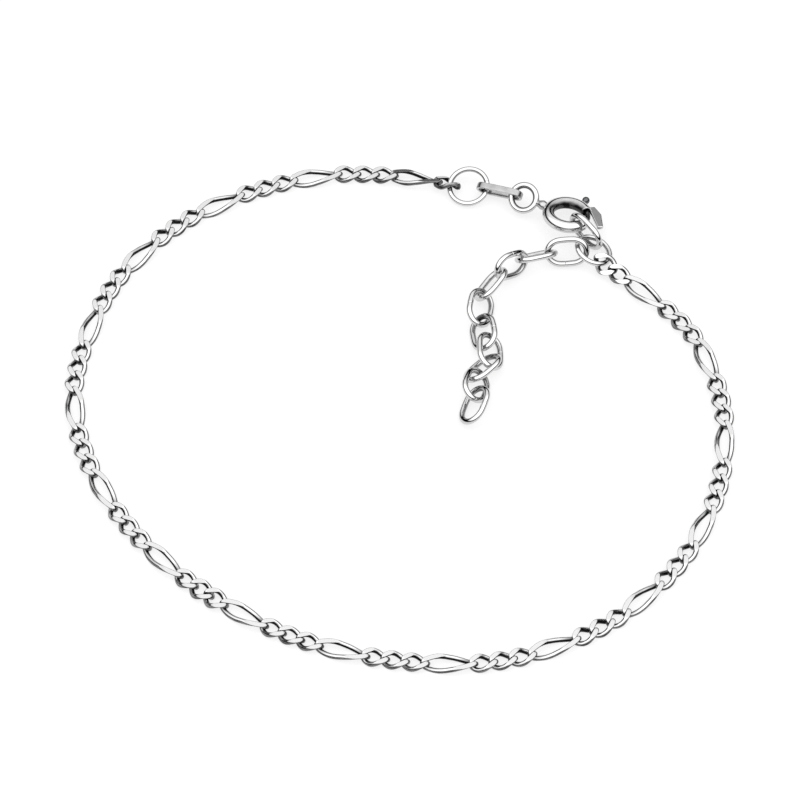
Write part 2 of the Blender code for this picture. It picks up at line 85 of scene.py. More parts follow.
lens = bpy.data.cameras.new("camera")
lens.lens = CAMERA_LENS
lens.sensor_width = SENSOR_WIDTH
camera = bpy.data.objects.new("camera", lens)
camera.location = (
    LOOK_AT[0],
    LOOK_AT[1] - CAMERA_DISTANCE * math.cos(CAMERA_HEIGHT_ANGLE),
    LOOK_AT[2] + CAMERA_DISTANCE * math.sin(CAMERA_HEIGHT_ANGLE),
)
camera.rotation_euler = (math.pi / 2.0 - CAMERA_HEIGHT_ANGLE, 0.0, 0.0)
bpy.context.scene.collection.objects.link(camera)
bpy.context.scene.camera = camera
print("camera at", [round(value / MM, 1) for value in camera.location], "mm")

# %% [markdown]
# ## Shader maths as plain sums
# Node trees are hard to read as a list of nodes and links. The two small classes below let us write them
# as sums: Value wraps a socket, so that 1 - mask adds the Math node that this needs, and Nodes adds any
# other node from its type, its settings and what goes into its sockets.

# %% Sums of sockets
class Value:
    """A shader socket that takes part in sums; each operator adds one Math node."""

    def __init__(self, nodes, socket):
        self.nodes = nodes
        self.socket = socket

    def maths(self, operation, first, second):
        return self.nodes.add("ShaderNodeMath", {"operation": operation}, {0: first, 1: second})

    def __add__(self, other):
        return self.maths("ADD", self, other)

    def __sub__(self, other):
        return self.maths("SUBTRACT", self, other)

    def __rsub__(self, other):
        return self.maths("SUBTRACT", other, self)

    def __mul__(self, other):
        return self.maths("MULTIPLY", self, other)

    __radd__ = __add__
    __rmul__ = __mul__


# %% Nodes from a type, settings and sockets
class Nodes:
    """The nodes of one material or of the world's light."""

    def __init__(self, owner):
        owner.use_nodes = True
        self.tree = owner.node_tree

    def add(self, kind, settings, sockets, output=0):
        """Add a node, set it up, then fill its sockets with numbers, colours or other Values."""
        node = self.tree.nodes.new(kind)
        for key, setting in settings.items():
            if key == "stops":
                self.set_stops(node.color_ramp, setting)
            else:
                setattr(node, key, setting)
        for key, content in sockets.items():
            if isinstance(content, Value):
                self.tree.links.new(content.socket, node.inputs[key])
            else:
                node.inputs[key].default_value = content
        return Value(self, node.outputs[output])

    def set_stops(self, ramp, stops):
        """Spread a ramp's stops, each a position and a brightness."""
        while len(ramp.elements) < len(stops):
            ramp.elements.new(1.0)
        for element, (position, level) in zip(ramp.elements, stops):
            element.position = position
            element.color = (level, level, level, 1.0)

    def ramp(self, value, stops):
        return self.add("ShaderNodeValToRGB", {"stops": stops}, {"Fac": value})

    def limited(self, value):
        return self.add("ShaderNodeClamp", {}, {"Value": value})

    def mix(self, share, first, second):
        """A colour that goes from the first to the second as the share goes from 0 to 1."""
        return self.add("ShaderNodeMix", {"data_type": "RGBA"}, {0: share, 6: first, 7: second}, output=2)

    def feed(self, node, socket, value):
        self.tree.links.new(value.socket, node.inputs[socket])


print("shader sums are ready")

# %% [markdown]
# ## A white tent for light
# Polished metal has hardly any colour of its own: it shows what stands round it. Jewellery is therefore
# photographed in a tent of white cloth, whose open edge near the table draws the thin dark lines along
# every wire. A tent could be a mesh with lamps behind it, but a brightness that depends on the direction
# alone does the same without noise. It is dark just above the table, somewhat grey at the back where
# the filed flats look, and white overhead. Each pair below is a place on the ramp and its brightness.

# %% Tent light
TENT_BY_HEIGHT = ((0.0, 0.0), (0.34, 0.0), (0.43, 0.5), (0.62, 0.9), (0.80, 1.0), (1.0, 1.0))
TENT_TOWARDS_BACK = ((0.0, 0.0), (0.35, 0.2), (0.62, 1.0), (0.85, 0.6), (1.0, 0.0))
TENT_BACK_SHADE = 0.42
TENT_STRENGTH = 2.2
BLACK = (0.0, 0.0, 0.0, 1.0)
WHITE = (1.0, 1.0, 1.0, 1.0)

world = bpy.data.worlds.new("light_tent")
bpy.context.scene.world = world
tent = Nodes(world)
direction = tent.add("ShaderNodeTexCoord", {}, {}, output=0)
split = tent.add("ShaderNodeSeparateXYZ", {}, {0: direction}).socket.node
height = Value(tent, split.outputs[2])
towards_back = Value(tent, split.outputs[1])
brightness = tent.ramp(height, TENT_BY_HEIGHT)
back = tent.ramp(towards_back, TENT_TOWARDS_BACK)
lit = brightness * (1.0 - back * TENT_BACK_SHADE)
backdrop = world.node_tree.nodes["Background"]
tent.feed(backdrop, "Color", tent.mix(lit, BLACK, WHITE))
backdrop.inputs["Strength"].default_value = TENT_STRENGTH
print("tent strength", TENT_STRENGTH)

# %% [markdown]
# ## The table
# The photograph has plain white paper under the bracelet, bright enough that nearly no shadow is left. The
# floor is one large square that glows by itself, as paper lit through from below does, and only the rest
# of its brightness comes from the tent, so that the links leave no more than a faint shadow.

# %% Table
TABLE_SIZE = 3.0
TABLE_GAP = 0.01 * MM
PAPER_GLOW = 0.72
PAPER_TONE = (0.22, 0.22, 0.22, 1.0)
PAPER_ROUGHNESS = 0.9
PAPER_GLOSS = 0.1

corner = TABLE_SIZE / 2.0
under = table_height - TABLE_GAP
sheet = bpy.data.meshes.new("table")
sheet.from_pydata([(-corner, -corner, under), (corner, -corner, under), (corner, corner, under),
                   (-corner, corner, under)], [], [(0, 1, 2, 3)])
table = bpy.data.objects.new("table", sheet)
bpy.context.scene.collection.objects.link(table)
paper = bpy.data.materials.new("white_paper")
paper.use_nodes = True
paper_shader = paper.node_tree.nodes["Principled BSDF"]
paper_shader.inputs["Base Color"].default_value = PAPER_TONE
paper_shader.inputs["Roughness"].default_value = PAPER_ROUGHNESS
paper_shader.inputs["Specular IOR Level"].default_value = PAPER_GLOSS
paper_shader.inputs["Emission Color"].default_value = WHITE
paper_shader.inputs["Emission Strength"].default_value = PAPER_GLOW
sheet.materials.append(paper)
bpy.context.scene.view_settings.view_transform = "Standard"
print("table at", round(under / MM, 3), "mm")

# %% [markdown]
# ## From grids of points to meshes
# Each surface here is a grid: one count of steps along the piece, another of points round it. numpy works
# out all the points at once, and the quads only join neighbours, so no loop ever walks over vertices.
# Faces have to point outwards. The sign of the enclosed volume tells whether they do, because a closed
# surface that is inside out has a negative one.

# %% Grids and meshes
def grid(points, ring):
    """Flat lists of points and quads for a stack of grids (copies, steps, round, xyz).

    Point (i, j) is joined to (i + 1, j), (i + 1, j + 1) and (i, j + 1). The points round a piece
    always close on themselves, and the steps along it do if it is a ring.
    """
    copies, steps, round_it = points.shape[:3]
    rows = np.arange(steps if ring else steps - 1)[:, None]
    columns = np.arange(round_it)[None]
    here = rows * round_it + columns
    there = (rows + 1) % steps * round_it + columns
    corners = (here, there, np.roll(there, -1, axis=1), np.roll(here, -1, axis=1))
    quads = np.stack(corners, axis=-1).reshape(1, -1, 4)
    starts = np.arange(copies)[:, None, None] * steps * round_it
    return points.reshape(-1, 3), (starts + quads).reshape(-1, 4)


def volume(points, quads):
    """A sixth of the sum, over all triangles, of a corner dotted with the cross product of the others."""
    a, b, c, d = (points[quads[:, corner]] for corner in range(4))
    return (np.sum(a * np.cross(b, c)) + np.sum(a * np.cross(c, d))) / 6.0


# %% One object from several grids
def make_piece(name, surfaces, marks=None, poles=False):
    """Join surfaces of points and quads in one object; marks are values kept on its points."""
    counts = np.cumsum([0] + [len(points) for points, _ in surfaces])
    facing = [quads if volume(points, quads) > 0.0 else quads[:, ::-1] for points, quads in surfaces]
    points = np.vstack([surface[0] for surface in surfaces])
    quads = np.vstack([start + faces for start, faces in zip(counts, facing)])
    mesh = bpy.data.meshes.new(name)
    mesh.vertices.add(len(points))
    mesh.vertices.foreach_set("co", points.astype(np.float32).ravel())
    mesh.loops.add(quads.size)
    mesh.loops.foreach_set("vertex_index", quads.astype(np.int32).ravel())
    mesh.polygons.add(len(quads))
    mesh.polygons.foreach_set("loop_start", np.arange(0, quads.size, 4, dtype=np.int32))
    for mark, values in (marks or {}).items():
        layer = mesh.attributes.new(mark, "FLOAT", "POINT")
        layer.data.foreach_set("value", np.asarray(values, dtype=np.float32).ravel())
    mesh.update(calc_edges=True)
    if poles:
        close_poles(mesh)
    mesh.shade_smooth()
    piece = bpy.data.objects.new(name, mesh)
    bpy.context.scene.collection.objects.link(piece)
    triangles = sum(len(polygon.vertices) - 2 for polygon in mesh.polygons)
    print(f"{name}: {triangles} triangles, {volume(points, quads) / MM ** 3:.2f} cubic millimetres")
    return piece


def close_poles(mesh):
    """Merge the points that lie on one another where a surface ends in a pole."""
    shape = bmesh.new()
    shape.from_mesh(mesh)
    bmesh.ops.remove_doubles(shape, verts=shape.verts, dist=1e-8)
    shape.to_mesh(mesh)
    shape.free()


# %% [markdown]
# ## How the pieces lie
# A ring or a link has its length along X and its opening along Z before it is laid. It is then turned to a
# heading on the table, raised by a pitch and leaned over to one side. The solids of the frame say where
# each middle is. The bracelet was turned a little as a whole when its loop was closed, and the heading
# of the flat link shows by how much.

# %% Laying a piece
def aim(heading, pitch, lean):
    """Axes of a piece as columns, from angles in radians.

    The length points to the heading and rises by the pitch; the side is level across it before it
    rises by the lean; and the top stands square on both.
    """
    heading, pitch, lean = np.broadcast_arrays(*np.atleast_1d(heading, pitch, lean))
    ch, cp, cl = np.cos(heading), np.cos(pitch), np.cos(lean)
    sh, sp, sl = np.sin(heading), np.sin(pitch), np.sin(lean)
    length = np.stack((ch * cp, sh * cp, sp), axis=-1)
    side = np.stack((-ch * sp * sl - sh * cl, -sh * sp * sl + ch * cl, cp * sl), axis=-1)
    top = np.stack((-ch * sp * cl + sh * sl, -sh * sp * cl - ch * sl, cp * cl), axis=-1)
    return np.stack((length, side, top), axis=-1)


def lay(points, axes, middles):
    """Copies of a grid (steps, round, xyz), one for each set of axes and middle."""
    return np.einsum("cab,srb->csra", axes, points) + middles[:, None, None]


# %% Middles and axes read from the frame
def corners_of(node):
    """The separate corner points of a solid of the frame."""
    mesh = frame["nodes"][node].data
    corners = np.empty(len(mesh.vertices) * 3, dtype=np.float32)
    mesh.vertices.foreach_get("co", corners)
    return np.unique(corners.reshape(-1, 3), axis=0).astype(float)


def found(node):
    """The middle of an oval solid, and its own axes, longest first, from the spread of its corners."""
    corners = corners_of(node)
    middle = corners.mean(axis=0)
    axes = np.linalg.svd(corners - middle, full_matrices=False)[2].T
    axes[:, 2] = np.cross(axes[:, 0], axes[:, 1])
    return middle[None], axes[None]


LAID = {
    "jump_ring": (-12.0, 5.0, 15.0),
    "flat_link": (-21.6, 8.0, 108.0),
    "spring_ring": (-27.6, 1.5, -15.0),
    "end_ring": (-35.5, -14.2, -16.8),
}
flat_length = found("flat_link")[1][0, :, 0]
flat_length *= math.copysign(1.0, flat_length[0])
whole_turn = math.atan2(flat_length[1], flat_length[0]) / DEGREE - LAID["flat_link"][0]
laid_axes = {name: aim((heading + whole_turn) * DEGREE, pitch * DEGREE, lean * DEGREE)
             for name, (heading, pitch, lean) in LAID.items()}
print("the bracelet was turned by", round(whole_turn, 3), "degrees as a whole")

# %% [markdown]
# ## Where the chain runs
# Figaro chain repeats three short links and a long one. Its route on the table is a smooth closed curve
# through a few points, and the links are its chords: each contact is one link's bearing length from the
# last. The rings at both ends lift the first and the last links, and the route is scaled until the loop
# just closes between them, by halving an interval again and again.

# %% Sizes of the chain and its rings
LONG_LINKS = 17
SHORT_AT_START = 2
SHORT_BETWEEN = 3
SHORT_AT_END = 1
CHAIN_WIRE = 0.48 * MM
SHORT_INSIDE = 1.82 * MM
LONG_INSIDE = 4.36 * MM
CHAIN_WIDTH = 1.88 * MM
OPEN_LINK_WIDTH = 2.1 * MM
CHAIN_THICKNESS = 0.76 * MM
LINK_TURN = 58.0 * DEGREE
END_SLACK = 0.2 * MM
FIRST_LEAN = 34.0 * DEGREE
LAST_LEAN = -31.0 * DEGREE
LIFTED_LINKS = 4
LEAN_POWER = 4
CLEARANCE = 0.18 * MM
JUMP_RING = (4.2 * MM, 0.52 * MM)
END_RING = (3.9 * MM, 0.52 * MM)
JUMP_RING_TAKES_CHAIN = 182.0 * DEGREE
END_RING_TAKES_CHAIN = -29.4 * DEGREE
CHAIN_ROUTE = (
    (19.25, 15.85), (23.5, 12.3), (27.9, 7.4), (30.1, 0.9), (30.5, -5.8), (28.8, -13.2), (25.6, -19.1),
    (20.6, -24.4), (14.0, -28.2), (7.0, -29.9), (-0.1, -29.6), (-7.2, -28.0), (-13.9, -24.9),
    (-20.3, -20.2), (-25.4, -14.5), (-29.0, -8.0), (-30.8, -1.1), (-30.3, 5.3), (-28.0, 12.5),
    (-24.6, 17.6), (-19.7, 22.0), (-13.6, 25.1), (-6.8, 26.9), (-0.1, 26.6), (5.0, 25.4),
    (12.0, 22.6), (17.2, 19.2),
)
short = [SHORT_INSIDE]
inside_lengths = np.array(short * SHORT_AT_START + ([LONG_INSIDE] + short * SHORT_BETWEEN) * (LONG_LINKS - 1)
                          + [LONG_INSIDE] + short * SHORT_AT_END)
link_count = len(inside_lengths)
is_long = inside_lengths == LONG_INSIDE
meeting = next(n for n in range(link_count // 2, link_count) if inside_lengths[n - 1] == inside_lengths[n])
print(link_count, "links, and the second length starts with number", meeting)

# %% Where the rings take the chain
def ring_contact(node, sizes, angle):
    """The point where the chain bears on a ring: its middle, and its inside radius at an angle."""
    outside, wire = sizes
    reach = outside / 2.0 - wire - CLEARANCE / 2.0
    across = np.array((math.cos(angle), math.sin(angle), 0.0)) * reach
    return corners_of(node).mean(axis=0) + laid_axes[node][0] @ across


first_contact = ring_contact("end_ring", END_RING, END_RING_TAKES_CHAIN)
last_contact = ring_contact("jump_ring", JUMP_RING, JUMP_RING_TAKES_CHAIN)
print("the ends hang at", [round(point[2] / MM, 3) for point in (first_contact, last_contact)], "mm")

# %% The smooth route
def smooth_route(points, samples=24):
    """A closed curve through the points and its length so far at each sample.

    Between two points it is the cubic whose slope at each of them is half the step from the point
    before to the point after.
    """
    points = np.asarray(points, dtype=float)
    before, after, last = (np.roll(points, shift, axis=0) for shift in (1, -1, -2))
    t = (np.arange(samples) / samples)[None, :, None]
    curve = 0.5 * (2.0 * points[:, None] + (after - before)[:, None] * t
                   + (2.0 * before - 5.0 * points + 4.0 * after - last)[:, None] * t ** 2
                   + (3.0 * points - before - 3.0 * after + last)[:, None] * t ** 3).reshape(-1, 2)
    curve = np.vstack((curve, curve[:1]))
    return curve, np.concatenate(([0.0], np.cumsum(np.linalg.norm(np.diff(curve, axis=0), axis=1))))


def walk(route, chords, scale):
    """Points along the scaled route, each a chord's length from the one before."""
    curve, lengths = route

    def at(distance):
        return np.array([np.interp(distance, lengths * scale, curve[:, axis] * scale) for axis in (0, 1)])

    distance = 0.0
    places = [at(distance)]
    for chord in chords:
        target = distance + chord
        for _ in range(4):
            target += chord - np.linalg.norm(at(target) - places[-1])
        distance = target
        places.append(at(distance))
    return np.array(places)


# %% Contacts of the links
HALVINGS = 40


def end_shares(count):
    """How far each of a count of places shares in what the first and the last one do.

    The share falls from 1 to 0 over the lifted links, as x squared times (3 - 2x).
    """
    left = np.clip(1.0 - np.arange(count) / LIFTED_LINKS, 0.0, 1.0)
    share = left ** 2 * (3.0 - 2.0 * left)
    return share, share[::-1]


free_start, free_end = np.zeros(link_count), np.zeros(link_count)
free_start[[0, meeting]] = CLEARANCE / 2.0
free_end[[meeting - 1, -1]] = CLEARANCE / 2.0
free_start[0] += END_SLACK
free_end[-1] += END_SLACK
on_table = CHAIN_THICKNESS / 2.0
from_first, from_last = end_shares(link_count + 1)
heights = on_table + (first_contact[2] - on_table) * from_first + (last_contact[2] - on_table) * from_last
chords = np.sqrt((inside_lengths - free_start - free_end) ** 2 - np.diff(heights) ** 2)
route = smooth_route(np.array(CHAIN_ROUTE) * MM)
bridge = np.linalg.norm((first_contact - last_contact)[:2])
low, high = 0.5, 2.0
for _ in range(HALVINGS):
    scale = (low + high) / 2.0
    plan = walk(route, chords, scale)
    low, high = (scale, high) if np.linalg.norm(plan[-1] - plan[0]) < bridge else (low, scale)
contacts = np.column_stack((plan - plan[0] + first_contact[:2], heights))
print("route scale", round(scale, 5), "and the loop misses the last ring by",
      round(float(np.linalg.norm(contacts[-1] - last_contact)) / MM, 4), "mm")

# %% Axes and middles of the links
along = np.diff(contacts, axis=0)
along /= np.linalg.norm(along, axis=1, keepdims=True)
from_first, from_last = end_shares(link_count)
leans = FIRST_LEAN * from_first ** LEAN_POWER + LAST_LEAN * from_last ** LEAN_POWER
link_axes = aim(np.arctan2(along[:, 1], along[:, 0]), np.arcsin(along[:, 2]), leans)
link_middles = contacts[:-1] + along * (inside_lengths / 2.0 - free_start)[:, None]
print("first link leans", round(leans[0] / DEGREE), "degrees, last one", round(leans[-1] / DEGREE))

# %% [markdown]
# ## Turned and filed links
# A curb link starts as an oval of round wire. It is turned along its length, so that the links lie flat in
# one another, and the finished chain is then filed flat on both faces. The file leaves bright flats with
# crisp edges where the turned link stands highest. A Boolean cut would give these flats ragged edges, so
# each section of the wire is worked out as a circle with two straight sides: the chords where the filed
# planes cut it.

# %% Sections of filed wire
FLAT_SHARES = np.array((-1.0, -0.86, 0.0, 0.86, 1.0))
ARC_SHARES = np.linspace(0.0, 1.0, 7)[1:-1]
LEAST_FLAT = 7.0 * DEGREE
FLAT_FADE = 8.0 * DEGREE
DEEPEST_CUT = -0.5
FLAT_BORDER = 0.9


def half_flat(height):
    """Half the angle of the arc that a plane takes off a circle, at a height in radii."""
    return np.arccos(np.clip(height, DEEPEST_CUT, math.cos(LEAST_FLAT)))


def filed_section(top_height, bottom_height):
    """Points round a unit circle filed at the top and bottom, one row for each section.

    The top flat has the half angle whose cosine is its height, the wire's left side is an arc down
    to the bottom flat, and the right side an arc back up. Returns the heights, the sideways places
    and how much of each point is filed flat.
    """
    top, bottom = half_flat(top_height)[:, None], half_flat(bottom_height)[:, None]
    left = top + ARC_SHARES * (math.pi - top - bottom)
    right = math.pi + bottom + ARC_SHARES * (math.pi - top - bottom)
    level = 0.0 * FLAT_SHARES
    rise = (np.cos(top) + level, np.cos(left), level - np.cos(bottom), np.cos(right))
    side = (np.sin(top) * FLAT_SHARES, np.sin(left), -np.sin(bottom) * FLAT_SHARES, np.sin(right))
    inner = np.abs(FLAT_SHARES) < FLAT_BORDER
    flat = [np.clip((angle - LEAST_FLAT) / FLAT_FADE, 0.0, 1.0) * inner for angle in (top, bottom)]
    filed = (flat[0], 0.0 * left, flat[1], 0.0 * right)
    return tuple(np.concatenate(parts, axis=1) for parts in (rise, side, filed))


# %% The curb link
STRETCH_POWER = 0.5
# Where painted shade falls on the wire's steep sides, and how much less of it there is on the link's outside.
SIDE_START = 0.55
SIDE_FADE = 0.3
OUTER_SHARE = 0.5
OUTER_SLOPE = 2.0
# Where painted shade falls inside the link near its ends.
INWARD_SLOPE = 1.1
INWARD_START = 0.1
RECESS_START = 0.2
RECESS_FADE = 0.6


def curb_link(inside, width, steps):
    """Grid of a link that is turned along its length and filed, with marks for its filed flats and its
    painted shade.

    The wire's middle runs at x = bend cos a, plus the stretch times a power of cos a, and at half
    the width times sin a from the X axis. That offset is turned about X by an angle that grows
    with x. Each section is cut by the planes z = half the thickness above and below. The marks say
    where a point is filed, and where painted shade goes: where it faces into the link near its ends,
    and where it is a steep side of the wire, which gets less of it on the link's outside.
    """
    bend = (SHORT_INSIDE + CHAIN_WIRE) / 2.0
    stretch = (inside - SHORT_INSIDE) / 2.0
    radius = CHAIN_WIRE / 2.0
    angle = (np.arange(steps) + 0.5) * 2.0 * math.pi / steps
    across = np.cos(angle)
    x = bend * across + stretch * np.sign(across) * np.abs(across) ** STRETCH_POWER
    spread = (width - CHAIN_WIRE) / 2.0 * np.sin(angle)
    share = np.abs(x) / (bend + stretch)
    turn = -LINK_TURN * np.sign(x) * share
    middle = np.stack((x, spread * np.cos(turn), spread * np.sin(turn)), axis=1)
    upright = np.stack((0.0 * x, -np.sin(turn), np.cos(turn)), axis=1)
    along = np.roll(middle, -1, axis=0) - np.roll(middle, 1, axis=0)
    along /= np.linalg.norm(along, axis=1, keepdims=True)
    out = np.cross(along, upright)
    out /= np.linalg.norm(out, axis=1, keepdims=True)
    up = np.cross(out, along)
    steep = np.hypot(out[:, 2], up[:, 2])
    highest = (out * out[:, 2:] + up * up[:, 2:]) / steep[:, None]
    sideways = np.cross(along, highest)
    flat = CHAIN_THICKNESS / 2.0
    rise, side, filed = filed_section((flat - middle[:, 2]) / (radius * steep),
                                      (flat + middle[:, 2]) / (radius * steep))
    offset = rise[..., None] * highest[:, None] + side[..., None] * sideways[:, None]
    inward = -np.sum(offset * out[:, None], axis=-1)
    # Painted shade where the wire faces into the link near its ends, between its neighbours.
    at_ends = np.clip((share[:, None] - RECESS_START) / RECESS_FADE, 0.0, 1.0)
    recess = at_ends * np.clip(inward * INWARD_SLOPE + INWARD_START, 0.0, 1.0) * (1.0 - filed)
    # Painted shade on the steep sides of the wire, with less of it on the link's outside.
    side_shade = (1.0 - np.clip((np.abs(offset[..., 2]) - SIDE_START) / SIDE_FADE, 0.0, 1.0)) * (1.0 - filed)
    side_shade *= OUTER_SHARE + (1.0 - OUTER_SHARE) * np.clip(0.5 + OUTER_SLOPE * inward, 0.0, 1.0)
    return middle[:, None] + radius * offset, {"filed": filed, "recess": recess, "side": side_shade}


# %% The two lengths of chain
SHORT_STEPS = 48
LONG_STEPS = 60

kinds = {
    "short": curb_link(SHORT_INSIDE, CHAIN_WIDTH, SHORT_STEPS),
    "long": curb_link(LONG_INSIDE, CHAIN_WIDTH, LONG_STEPS),
    "open": curb_link(SHORT_INSIDE, OPEN_LINK_WIDTH, SHORT_STEPS),
}
is_open = np.isin(np.arange(link_count), (0, meeting - 1, meeting, link_count - 1))
link_kinds = np.where(is_open, "open", np.where(is_long, "long", "short"))


def chain_length(name, first, last):
    """One length of chain, from its first link up to but without its last."""
    surfaces, marks = [], {"filed": [], "recess": [], "side": []}
    numbers = np.arange(first, last)
    for kind, (points, link_marks) in kinds.items():
        chosen = numbers[link_kinds[numbers] == kind]
        surfaces.append(grid(lay(points, link_axes[chosen], link_middles[chosen]), ring=True))
        for mark, values in link_marks.items():
            marks[mark].append(np.tile(values, (len(chosen), 1, 1)).ravel())
    return make_piece(name, surfaces, {mark: np.concatenate(parts) for mark, parts in marks.items()})


chain_a = chain_length("polished_chain_a", 0, meeting)
chain_b = chain_length("polished_chain_b", meeting, link_count)

# %% [markdown]
# ## Wire rings and oval links
# The rings and the links of the extension chain are wound on a rod, cut off and closed, so that each keeps
# a fine line where its ends meet. The path is two straight stretches and two half circles, a little
# bellied as a link that was wound on an oval rod is. A curve object with a bevel would do, but a grid
# also lets the wire narrow where its ends meet.

# %% An oval path
def stadium(length, width, steps, extra=()):
    """Points and their travelled shares on two straights joined by half circles, X the long way.

    The turning angle stands still along the straights while the half circle's middle moves from one
    end to the other; both are read from the travelled length.
    """
    radius, straight = width / 2.0, (length - width) / 2.0
    quarter = math.pi * radius / 2.0
    knots = np.cumsum((0.0, quarter, 2.0 * straight, 2.0 * quarter, 2.0 * straight, quarter))
    shares = np.unique(np.concatenate((np.arange(steps) / steps, extra)) % 1.0)
    travelled = shares * knots[-1]
    angle = np.interp(travelled, knots, np.array((0.0, 0.5, 0.5, 1.5, 1.5, 2.0)) * math.pi)
    offset = np.interp(travelled, knots, np.array((1.0, 1.0, -1.0, -1.0, 1.0, 1.0)) * straight)
    return np.stack((radius * np.cos(angle) + offset, radius * np.sin(angle)), axis=1), angle, shares


# %% A ring of round wire
WIRE_ROUND = 20
WIRE_STEPS = 64
BELLY = 0.35
SEAM_HALF_WIDTH = 0.02 * MM
SEAM_DEPTH = 0.025 * MM
WALL_SHADE = 0.5
BEND_START = 0.8
BEND_FADE = 0.2
SEAM_PLACES = np.array((-3.0, -1.5, -1.0, -0.5, 0.0, 0.5, 1.0, 1.5, 3.0))


def wire_ring(length, width, wire, seam):
    """Grid of an oval of round wire in its own XY plane, and a mark for painted shade on its inner wall.

    The path is a stadium mixed with the ellipse of the same length and width. The wire's radius is
    less by the seam's depth, times a bell curve of the distance from the seam. The painted shade is
    strongest in the bends, where the neighbours hang.
    """
    long_way, short_way = length - wire, width - wire
    around = math.pi * short_way + 2.0 * (long_way - short_way)
    near_seam = seam + SEAM_PLACES * SEAM_HALF_WIDTH / around
    path, _, shares = stadium(long_way, short_way, WIRE_STEPS, near_seam)
    bearing = np.arctan2(path[:, 1] / short_way, path[:, 0] / long_way)
    ellipse = np.stack((long_way / 2.0 * np.cos(bearing), short_way / 2.0 * np.sin(bearing)), axis=1)
    path = path * (1.0 - BELLY) + ellipse * BELLY
    along = np.roll(path, -1, axis=0) - np.roll(path, 1, axis=0)
    along /= np.linalg.norm(along, axis=1, keepdims=True)
    out = np.stack((along[:, 1], -along[:, 0]), axis=1)
    radius = wire / 2.0 - SEAM_DEPTH * np.exp(-((shares - seam) * around / SEAM_HALF_WIDTH) ** 2)
    turn = np.arange(WIRE_ROUND) * 2.0 * math.pi / WIRE_ROUND
    flat = path[:, None] + out[:, None] * (radius[:, None] * np.cos(turn))[..., None]
    points = np.concatenate((flat, (radius[:, None] * np.sin(turn))[..., None]), axis=2)
    at_ends = np.clip((np.abs(path[:, 0]) * 2.0 / long_way - BEND_START) / BEND_FADE, 0.0, 1.0)
    # Painted shade on the inner wall, half as strong along the sides as in the bends.
    recess = (WALL_SHADE + (1.0 - WALL_SHADE) * at_ends[:, None]) * np.clip(-np.cos(turn), 0.0, 1.0)[None]
    return points, recess


# %% Extension chain and rings
EXTENSION_LINKS = 10
EXTENSION_LINK = (4.36 * MM, 3.0 * MM, 0.58 * MM)
END_SEAM = 0.06
SIDE_SEAM = 0.23

extension_nodes = [f"extension_link_{number:02d}" for number in range(1, EXTENSION_LINKS + 1)]
wire_pieces = {}
for number, node in enumerate(["hook_link"] + extension_nodes):
    points, recess = wire_ring(*EXTENSION_LINK, SIDE_SEAM + (0.5 if number % 2 else 0.0))
    middle, axes = found(node)
    surface = grid(lay(points, axes, middle), ring=True)
    wire_pieces[node] = make_piece("polished_" + node, [surface], {"recess": recess})
for node, (outside, wire) in (("jump_ring", JUMP_RING), ("end_ring", END_RING)):
    points, recess = wire_ring(outside, outside, wire, END_SEAM)
    middle = corners_of(node).mean(axis=0)[None]
    surface = grid(lay(points, laid_axes[node], middle), ring=True)
    wire_pieces[node] = make_piece("polished_" + node, [surface], {"recess": recess})

# %% [markdown]
# ## The flat link
# Between the jump ring and the clasp sits an oval of flat strip, which stands nearly on its edge and shows
# its broad inside. Its section is a rectangle with rounded corners. The powers of sine and cosine give
# one in a single formula: the smaller the power, the squarer the section.

# %% Flat link
FLAT_LINK = (4.7 * MM, 1.68 * MM)
FLAT_STRIP = 0.62 * MM
FLAT_GAUGE = 0.28 * MM
FLAT_STEPS = 72
FLAT_ROUND = 24
CORNER_POWER = 0.35
# How strongly painted shade darkens the flat link's broad faces.
BROAD_SHADE = 0.7


def strip_ring(length, height, strip, gauge):
    """Grid of an oval of strip, and a mark for painted shade on its broad faces, which also makes them a
    little rougher.

    Across its gauge runs the signed cosine to a power, and across its width the sine.
    """
    path, angle, _ = stadium(length - gauge, height - gauge, FLAT_STEPS)
    out = np.stack((np.cos(angle), np.sin(angle)), axis=1)
    turn = np.arange(FLAT_ROUND) * 2.0 * math.pi / FLAT_ROUND
    thick = np.sign(np.cos(turn)) * np.abs(np.cos(turn)) ** CORNER_POWER * gauge / 2.0
    broad = np.sign(np.sin(turn)) * np.abs(np.sin(turn)) ** CORNER_POWER * strip / 2.0
    flat = path[:, None] + out[:, None] * thick[None, :, None]
    points = np.concatenate((flat, np.broadcast_to(broad[None, :, None], flat.shape[:2] + (1,))), axis=2)
    # Painted shade on the broad faces.
    return points, np.tile(BROAD_SHADE * np.abs(np.cos(turn)), (len(path), 1))


flat_points, flat_broad_shade = strip_ring(*FLAT_LINK, FLAT_STRIP, FLAT_GAUGE)
flat_middle, _ = found("flat_link")
flat_surface = grid(lay(flat_points, laid_axes["flat_link"], flat_middle), ring=True)
wire_pieces["flat_link"] = make_piece("polished_flat_link", [flat_surface], {"recess": flat_broad_shade})

# %% [markdown]
# ## The spring ring
# The clasp is a hollow ring with a mouth. A bolt inside it shuts the mouth, and its knob slides in a slot.
# The ring is turned about a bent axis: a list of stations gives an angle round the ring and a radius from
# the tube's middle, from the dimple in the closed end, over the outside, round the lip, and back
# along the bore to its floor. Cap and lip hold degrees past the end and shares of the tube's or the
# bore's radius. The slot is left out of the grid, and walls close its edges.

# %% Clasp sizes and its own axes
CLASP_OUTSIDE = 5.0 * MM
CLASP_TUBE = 1.16 * MM
CLASP_BORE = 0.88 * MM
MOUTH_START = -17.0
MOUTH_END = 46.0
GUIDED = 40.0
TRAVEL = 50.0
END_GAP = 3.0
BOLT_WIRE = 0.5 * MM
KNOB_WIDTH = 0.34 * MM
KNOB_HEAD = 0.74 * MM
KNOB_HEIGHT = 0.95 * MM
KNOB_CLEARANCE = 0.15 * MM
TUBE_ROUND_REST = 26
SLOT_CELLS = 6

